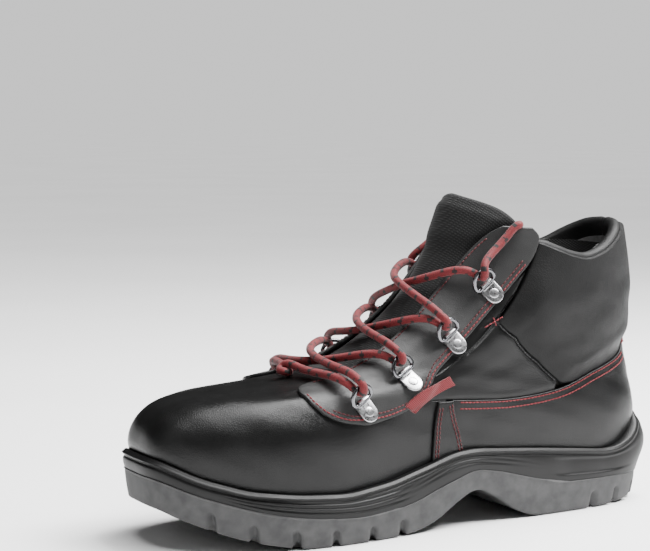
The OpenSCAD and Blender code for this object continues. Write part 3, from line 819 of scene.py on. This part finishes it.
def tongue():
    """One padded piece from the throat to its top."""
    def place(u, w):
        reach = 180 - spl(TONGUE_V, TONGUE_A, 0.47 + 0.53 * u)
        a = 180 + reach * (2 * w - 1)
        top = spl(TONGUE_TOP_A, TONGUE_TOP_V, fold(a))
        return 0.47 + (top - 0.47) * u, a
    v, a, edges = grid(place, 70, 44, 2.4)
    near = np.minimum.reduce(edges)
    top = smooth((v - 0.86) / 0.05)
    crown = 0.5 * top * np.sin(np.pi * np.clip((v - 0.87) / 0.13, 0, 1))
    swell = (0.4 + 1.6 * top) * smooth(near / 9) + crown
    channel = -0.9 * ridge(near, 5.2, 0.9) * smooth((v - 0.8) / 0.06)
    outer = at(v, a, -2.3 - rounded(near, 2.4) + swell + channel)
    inner = at(v, a, -6.9 + rounded(near, 1.6) - 0.8 * smooth(near / 9) * top)
    piece = make("tongue", *slab(outer, inner), TONGUE_TEXTILE, "tongue_textile", body=None,
                 replaces=["tongue", "tongue_tip"])
    low, high = surface(FOLD_AT - 0.02, 180) * MM, surface(FOLD_AT + 0.02, 180) * MM
    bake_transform(piece)


# ---- lacing ----
RING_PLACE = [[0.29, 112.5], [0.465, 117], [0.635, 121.5], [0.78, 121.5]]
WIRE_R = 1.15
RING_HALF = 4.5
CORNER_R = 2.2
BOW_R = RING_HALF + CORNER_R
BAR_N = 2.4
RING_TILT = math.radians(35)
RIVET_T = -6.4
PLATE_T = 0.9
WRAP_R = 2.05
# A plate's share of its outline and height, from under it to its crown; a rivet's radius and height
PLATE_PROFILE = [(1, -0.3), (1, PLATE_T - 0.45), (0.985, PLATE_T - 0.2), (0.95, PLATE_T - 0.04),
                 (0.9, PLATE_T + 0.02), (0.6, PLATE_T + 0.2), (0.3, PLATE_T + 0.28), (0.02, PLATE_T + 0.3)]
RIVET_PROFILE = [(2.7, PLATE_T - 0.1), (2.7, PLATE_T + 0.22), (2.6, PLATE_T + 0.34), (2.2, PLATE_T + 0.46),
                 (1.4, PLATE_T + 0.58), (0.6, PLATE_T + 0.63), (0.05, PLATE_T + 0.64)]
LACE_R = 2.3
AGLET_AT = [-0.5, 0, 0.3, 1.5, 6, 12, 12.6, 12.8]
AGLET_R = [1.5, 1.62, 1.62, 1.45, 1.4, 1.4, 1.2, 0.7]
LACE_STEPS = 90
LACE_PULL = 0.45
HELD = 18       # points that stay put at each end of the lace's route
LACE_CLEAR = 2 * LACE_R + 0.2
RING_CLEAR = LACE_R + WIRE_R + 0.1


def facing_frame(i, side):
    """Axes (to the tongue, along the edge, out) and origin of a ring's place."""
    v, a = RING_PLACE[i][0], side_angle(RING_PLACE[i][1], side)
    n = normal(v, a)
    w = np.array([0.45, -0.6 * side, 0.6])
    t = unit(w - (w @ n) * n)
    return np.stack([t, np.cross(n, t), n], -1), at(v, a, 2.35)


def from_facing(i, side, points):
    axes, origin = facing_frame(i, side)
    return np.asarray(points, float) @ axes.T + origin


def ring_plane(p):
    """Turn points of a ring's own plane (reach, across, height) up by the ring's tilt."""
    p = np.asarray(p, float)
    c, s = math.cos(RING_TILT), math.sin(RING_TILT)
    return np.stack([p[:, 0] * c - p[:, 2] * s, p[:, 1], BAR_N + p[:, 0] * s + p[:, 2] * c], -1)


def tube(path, radius, sides=16, closed=False):
    """Rings of points round a path; radius may differ from point to point."""
    path = np.asarray(path, float)
    ahead = np.roll(path, -1, 0) - np.roll(path, 1, 0)
    if not closed:
        ahead[0], ahead[-1] = path[1] - path[0], path[-1] - path[-2]
    ahead = unit(ahead)
    side = unit(np.cross(ahead[0], (0.3, 0.9, 0.2)))
    turn = np.linspace(0, 2 * math.pi, sides, endpoint=False)
    rings = []
    radius = np.broadcast_to(radius, (len(path), sides) if np.ndim(radius) > 1 else (len(path),))
    for k, (p, d) in enumerate(zip(path, ahead)):
        side = unit(side - (side @ d) * d)
        other = np.cross(d, side)
        reach, rise = radius[k] * np.cos(turn), radius[k] * np.sin(turn)
        rings.append(p + reach[:, None] * side + rise[:, None] * other)
    return np.array(rings)


def ring_wire():
    """The D's centre line in its own plane: bar, two corners and the bow."""
    quarter_turn = np.radians(np.linspace(0, 90, 9))
    bow = np.radians(np.linspace(-90, 90, 37))
    corner = lambda s: [(CORNER_R - CORNER_R * math.cos(q), s * (RING_HALF + CORNER_R * math.sin(q)), 0)
                        for q in quarter_turn]
    line = [(0, y, 0) for y in np.linspace(RING_HALF, -RING_HALF, 9)[1:-1]]
    return (line + corner(-1) + [(CORNER_R + BOW_R * math.cos(b), BOW_R * math.sin(b), 0) for b in bow[1:-1]]
            + corner(1)[::-1])


def hardware():
    wire = ring_plane(ring_wire())
    for side, label in ((1, "lateral"), (-1, "medial")):
        plates, rivets = [], []
        for i in range(4):
            body = f"ring_{label}_{i + 1}"
            rings = tube(from_facing(i, side, wire), WIRE_R, 14, closed=True)
            faces = quads(*rings.shape[:2], closed=True, looped=True)
            make("wire_" + body, rings.reshape(-1, 3), faces, RING_STEEL, "ring_steel", body, [body])
            plates += clip_parts(i, side)
            head, faces = rivet_head()
            rivets.append((from_facing(i, side, head), faces))
        join("clips_" + label + "_plates", plates, CLIP_STEEL, "clip_steel", ["clips_" + label])
        join("rivets_" + label + "_heads", rivets, CLIP_STEEL, "clip_steel", ["rivets_" + label])


def join(name, parts, material, slot, replaces=()):
    """One piece of several (points, faces)."""
    points, faces, count = [], [], 0
    for p, f in parts:
        points.append(p)
        faces += [[k + count for k in face] for face in f]
        count += len(p)
    make(name, np.concatenate(points), faces, material, slot, replaces=replaces)


def clip_parts(i, side):
    """A half-round plate with a crowned face, and the strip that wraps the ring's bar."""
    arc = np.radians(np.linspace(90, 270, 25))
    outline = [(0, 5), *[(-7 + 5 * math.cos(t), 5 * math.sin(t)) for t in arc], (0, -5)]
    outline += [(0, y) for y in (-3, -1, 1, 3)]
    outline = np.array(outline)
    centre = np.array([-5.6, 0])
    rings = []
    for shrink, z in PLATE_PROFILE:
        p = centre + (outline - centre) * shrink
        rings.append(np.column_stack([p, np.full(len(p), z)]))
    plate, faces = bands(np.array(rings))
    sweep = np.radians(np.linspace(-200, 90, 30))
    strip = []
    for y in (-3.5, -3.35, -3.1, 3.1, 3.35, 3.5):
        r = WRAP_R - (0.3 if abs(y) > 3.4 else (0.09 if abs(y) > 3.2 else 0))
        outer = [(math.cos(t) * r, y, BAR_N + math.sin(t) * r) for t in sweep]
        inner = [(math.cos(t) * (WIRE_R + 0.1), y, BAR_N + math.sin(t) * (WIRE_R + 0.1)) for t in sweep[::-1]]
        strip.append(outer + inner)
    wrap, wrap_faces = bands(np.array(strip))
    return [(from_facing(i, side, plate), faces), (from_facing(i, side, wrap), wrap_faces)]


def rivet_head():
    """A domed head with a small flat rim."""
    turn = np.radians(np.arange(0, 360, 15))
    rings = [np.column_stack([RIVET_T + r * np.cos(turn), r * np.sin(turn), np.full(turn.shape, z)])
             for r, z in RIVET_PROFILE]
    return bands(np.array(rings))


TURN_R = 4.2
TURN_PLACES = [(6, 2.6), *[(TURN_R * math.cos(math.radians(t)), TURN_R * math.sin(math.radians(t)))
                           for t in range(60, 301, 30)], (5.5, -3.6)]
CROSS_V = [0.545, 0.655, 0.775]
TAIL = [(0.86, 126, 6), (0.91, 120, 5.2), (0.945, 117, 2.5), (0.952, 116, -3), (0.93, 116, -9.5),
        (0.89, 116, -11), (0.83, 117, -11)]


def turn_round(i, side):
    """From under a ring's bow to over it."""
    reach = CORNER_R + BOW_R
    places = [(reach + p, 0, q) for p, q in TURN_PLACES[::-1]]
    return list(from_facing(i, side, ring_plane(places)))


def strand(i, side, d):
    """The crossing over the tongue above ring i, from one side to the other."""
    v = CROSS_V[i]
    return [at(v - 0.012, side_angle(167, side), d), at(v + 0.012, side_angle(193, side), d)]


def half_path(side):
    """From the lowest ring on one side, across and up to the tucked end."""
    path = turn_round(0, side) + strand(0, side, 6 + 2.3 * side)
    path += turn_round(1, -side) + strand(1, -side, 6 - 2.3 * side)
    path += turn_round(2, side) + strand(2, side, 6 + 2.3 * side)
    path += turn_round(3, -side)
    return path + [at(v, side_angle(a, -side), d) for v, a, d in TAIL]


def lengths(path):
    """The length of the path up to each of its points."""
    return np.concatenate([[0], np.cumsum(np.linalg.norm(np.diff(path, axis=0), axis=1))])


def along(places, run, values):
    """Rows of values, given at the lengths run, read off at other lengths."""
    return np.stack([np.interp(places, run, values[:, k]) for k in range(3)], -1)


def resample(path, step):
    """Points a step apart along the path."""
    path = np.asarray(path, float)
    run = lengths(path)
    count = int(round(run[-1] / step)) + 1
    return along(np.linspace(0, run[-1], count), run, path)


def lace_path():
    """The lace's route, relaxed: it pulls straight, but stays clear of itself, the rings and the leather."""
    path = np.array(half_path(-1)[::-1] + [at(0.49, 170, 4.6), at(0.49, 190, 4.6)] + half_path(1))
    path = resample(path, 1.5)
    rings = np.concatenate([from_facing(i, side, ring_plane(ring_wire()))
                            for side in (1, -1) for i in range(4)])
    v, a = np.meshgrid(np.linspace(0.15, 1, 100), np.linspace(85, 275, 150), indexing="ij")
    on_facing = ((fold(a) < spl(FACING_V, FACING_FRONT, v)) & (v < 0.93) & (v > 0.2)).ravel()
    skin_out = normal(v, a).reshape(-1, 3)
    skin = at(v, a, 0).reshape(-1, 3) + skin_out * np.where(on_facing, OVERLAY_TOP, 0.0)[:, None]
    n = len(path)
    far = np.abs(np.arange(n)[:, None] - np.arange(n)[None]) > 7
    free = np.ones(n, bool)
    free[:HELD] = free[-HELD:] = False
    for step in range(LACE_STEPS):
        straight = np.zeros_like(path)
        straight[1:-1] = (path[:-2] + path[2:]) / 2 - path[1:-1]
        move = LACE_PULL * straight
        gap = path[:, None] - path[None]
        dist = np.linalg.norm(gap, axis=-1)
        close = far & (dist < LACE_CLEAR)
        share = np.where(close, 0.3 * (LACE_CLEAR - dist) / np.maximum(dist, 0.3), 0)
        move += (share[..., None] * gap).sum(1)
        gap = path[:, None] - rings[None]
        dist = np.linalg.norm(gap, axis=-1)
        push = np.where(dist < RING_CLEAR, (RING_CLEAR - dist) / np.maximum(dist, 0.3), 0)[..., None] * gap
        k = np.linalg.norm(push, axis=-1).argmax(1)
        move += 0.8 * push[np.arange(n), k]
        if step % 3 == 0:
            nearest = ((path[:, None] - skin[None]) ** 2).sum(-1).argmin(1)
        height = ((path - skin[nearest]) * skin_out[nearest]).sum(-1)
        move += np.where(height < LACE_R + 0.1, 0.6 * (LACE_R + 0.1 - height), 0)[:, None] * skin_out[nearest]
        path[free] += move[free]
    for _ in range(2):
        path[1:-1] = (path[:-2] + 2 * path[1:-1] + path[2:]) / 4
    return path


def lace():
    """A round braid: bumps where its strands cross, red with black flecks."""
    path = resample(lace_path(), 0.9)
    sides = 16
    row, col = np.meshgrid(np.arange(len(path)), np.arange(sides), indexing="ij")
    turned = col * math.tau / sides * 4
    braid = 0.11 * np.sin(row * 1.35 + turned) * np.sin(row * 1.35 - turned)
    rings = tube(path, LACE_R - 0.1 + braid, sides)
    points, faces = bands(rings)
    flecks = (((row[:-1] + col[:-1] // 2) // 3) % 3 == 0) & (((row[:-1] - col[:-1] // 2) // 3) % 2 == 0)
    make("lace", points, faces, [LACE_RED, LACE_BLACK], "lace_cord", replaces=["lace"],
         face_materials=list(flecks.ravel().astype(int)) + [0, 0])
    print("lace length", round(float(lengths(path)[-1])), "mm")
    ends = []
    for end, before in ((path[0], path[4]), (path[-1], path[-5])):
        line = [end + unit(end - before) * t for t in AGLET_AT]
        ends.append(bands(tube(line, np.array(AGLET_R), 14)))
    join("lace_aglets", ends, AGLET_FILM, "aglet", ["lace_aglets"])


# ---- stitching ----
STITCH = 2.5
THREAD_R = 0.36
# A stitch's points: shares of its length, how high they stand, and shares of the thread's radius
STITCH_AT = np.array([-0.4, -0.36, -0.2, 0, 0.2, 0.36, 0.4])
STITCH_RISE = np.array([-0.5, -0.12, 0.14, 0.2, 0.14, -0.12, -0.5])
STITCH_THICK = np.array([0.5, 0.85, 1, 1, 1, 0.85, 0.5])


def inset(v, a, mm):
    """Move a line of places sideways over the upper by mm, to its right seen from outside."""
    p = surface(v, a)
    ahead = unit(np.gradient(p, axis=0))
    side = np.cross(ahead, normal(v, a)) * mm
    dv, da = 0.004, 0.4
    su = (surface(v + dv, a) - surface(v - dv, a)) / (2 * dv)
    sw = (surface(v, a + da) - surface(v, a - da)) / (2 * da)
    g11, g12, g22 = (su * su).sum(-1), (su * sw).sum(-1), (sw * sw).sum(-1)
    b1, b2 = (su * side).sum(-1), (sw * side).sum(-1)
    det = g11 * g22 - g12 * g12
    return v + (g22 * b1 - g12 * b2) / det, a + (g11 * b2 - g12 * b1) / det


def stitches(v, a, d, skin):
    """Short threads along the line, each dipping into the leather at both ends."""
    p = skin(v, a, d)
    n = normal(v, a)
    run = lengths(p)
    parts = []
    for k in range(int(run[-1] / STITCH)):
        t = (k + 0.5) * STITCH + STITCH_AT * STITCH
        line = along(t, run, p) + along(t, run, n) * STITCH_RISE[:, None]
        parts.append(bands(tube(line, THREAD_R * STITCH_THICK, 6)))
    return parts


def facing_edge(first, last):
    """The facing's edge from the height first at the front, round its lowest point, up the rear to last."""
    fore, rear = np.linspace(first, 0.21, 60), np.linspace(0.21, last, 260)
    v = np.concatenate([fore, rear[1:]])
    a = np.concatenate([spl(FACING_V, FACING_FRONT, fore), spl(FACING_V, FACING_REAR, rear[1:])])
    for _ in range(6):
        v[1:-1], a[1:-1] = (v[:-2] + 2 * v[1:-1] + v[2:]) / 4, (a[:-2] + 2 * a[1:-1] + a[2:]) / 4
    return v, a


def sew():
    red, dim, black = [], [], []
    both = lambda v, a, d, skin, store: store.extend(stitches(v, a, d, skin) + stitches(v, 360 - a, d, skin))
    for mm, first, store in ((-1.7, 0.34, red), (-4.1, 0.24, dim)):
        both(*inset(*facing_edge(first, 0.835), mm), OVERLAY_TOP, at, store)
    v = np.linspace(0.46, 0.91, 200)
    both(*inset(v, spl(FACING_V, FACING_FRONT, v), 1.8), OVERLAY_TOP, at, dim)
    a = np.linspace(21, 86, 220)
    for mm in (1.3, 4.6):
        both(*inset(counter_top(a), a, -mm), 1.05, outside, red)
    v = np.linspace(STRAP_V[0] + 0.02, STRAP_V[-1] - 0.01, 40)
    for mm in (-1.4, -3.2):
        both(*inset(v, spl(STRAP_V, STRAP_REAR, v), mm), OVERLAY_TOP, at, dim)
        both(*inset(v, spl(STRAP_V, STRAP_FRONT, v), -mm), OVERLAY_TOP, at, dim)
    a = np.linspace(58, 102, 90)
    both(*inset(diagonal(a), a, -1.6), 0.35, outside, black)
    for v0, a0, d, skin in ((0.665, 105.5, OVERLAY_TOP, at), (0.452, 17.5, 1.6, outside)):
        for turn in (1, -1):
            v, a = np.linspace(v0 - 0.016, v0 + 0.016, 9), np.linspace(a0 - 2.4 * turn, a0 + 2.4 * turn, 9)
            both(v, a, d, skin, red)
    v = np.linspace(0.475, 0.94, 90)
    both(*inset(v, spl(STRIP_V, STRIP_HALF, v), 2.8), 1.3 + strip_swell(v), outside, black)
    join("stitches_red", red, RED_THREAD, "tab_textile")
    join("stitches_dark", dim, DIM_THREAD, "tab_textile")
    join("stitches_black", black, BLACK_THREAD, "leather")


# ---- carried-over inner pieces ----
def finish_inner_nodes():
    for name, material in (("puncture_plate", PLATE_STEEL), ("insole_board", BOARD), ("toe_cap", CAP_STEEL),
                           ("heel_stiffener", FELT_PAINTED_SHADE)):
        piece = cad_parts[name]
        piece.data.materials.clear()
        piece.data.materials.append(material)


# ---- stage, camera and light ----
AMBIENT = 0.03      # light from all round
BACKDROP = 0.95     # how bright the backdrop shows, to match the floor


def aim(thing, where, target):
    thing.location = where
    thing.rotation_euler = (Vector(target) - Vector(where)).to_track_quat("-Z", "Y").to_euler()
    bpy.context.collection.objects.link(thing)


def area_light(name, where, target, power, size):
    lamp = bpy.data.lights.new(name, "AREA")
    lamp.shape = "RECTANGLE"
    lamp.size, lamp.size_y = size
    lamp.energy = power
    aim(bpy.data.objects.new(name, lamp), where, target)


def stage():
    material, tree, shader, place = start("floor_white", roughness=0.9, specular=0.1)
    clouds = add(tree, "TexNoise", {"Vector": place, "Scale": 3.0, "Detail": 2.0})
    vary(tree, shader, "Base Color", clouds.outputs["Fac"], 0.86, 0.9)
    mesh = bpy.data.meshes.new("floor")
    w = 40.0
    mesh.from_pydata([(-w, -w, 0), (w, -w, 0), (w, w, 0), (-w, w, 0)], [], [(0, 1, 2, 3)])
    mesh.materials.append(material)
    floor = bpy.data.objects.new("floor", mesh)
    bpy.context.collection.objects.link(floor)
    floor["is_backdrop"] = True
    world = bpy.data.worlds.new("studio")
    bpy.context.scene.world = world
    world.use_nodes = True
    tree, sky = world.node_tree, world.node_tree.nodes["Background"]
    seen = add(tree, "LightPath").outputs["Is Camera Ray"]
    sky.inputs["Color"].default_value = (1, 1, 1, 1)
    strength = add(tree, "MapRange", {"Value": seen, "To Min": AMBIENT, "To Max": BACKDROP})
    tree.links.new(strength.outputs["Result"], sky.inputs["Strength"])


def camera():
    azimuth, elevation, distance = math.radians(28), math.radians(5), 1.0
    target = Vector((0.151, 0, 0.137))
    level = math.cos(elevation)
    back = Vector((math.sin(azimuth) * level, math.cos(azimuth) * level, math.sin(elevation)))
    data = bpy.data.cameras.new("camera")
    data.sensor_width = 36
    data.lens = 102.46
    eye = bpy.data.objects.new("camera", data)
    aim(eye, target + back * distance, target)
    bpy.context.scene.camera = eye


def lights():
    sun = bpy.data.lights.new("soft_sun", "SUN")
    sun.energy, sun.angle = 3.5, math.radians(40)
    aim(bpy.data.objects.new("soft_sun", sun), (0.1, 0.2, 1.2), (0.1, 0, 0.05))
    area_light("softbox", (-0.42, 0.08, 1.1), (0.14, 0, 0.06), 54, (0.9, 0.9))
    area_light("side", (-0.45, 0.45, 1.0), (0.2, 0.04, 0.06), 16, (0.4, 0.4))
    area_light("toe", (1.2, 0.3, 0.7), (0.15, 0, 0.06), 2, (0.6, 0.8))


camera()
midsole()
outsole()
linings()
footbed()
uppers()
for one_side in (1, -1):
    collar(one_side)
collar_padding()
back_strip()
overlays()
tongue()
hardware()
lace()
sew()
finish_inner_nodes()
stage()
lights()

low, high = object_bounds()
{"cad": [list(cad_low), list(cad_high)], "visual": [list(low), list(high)]}
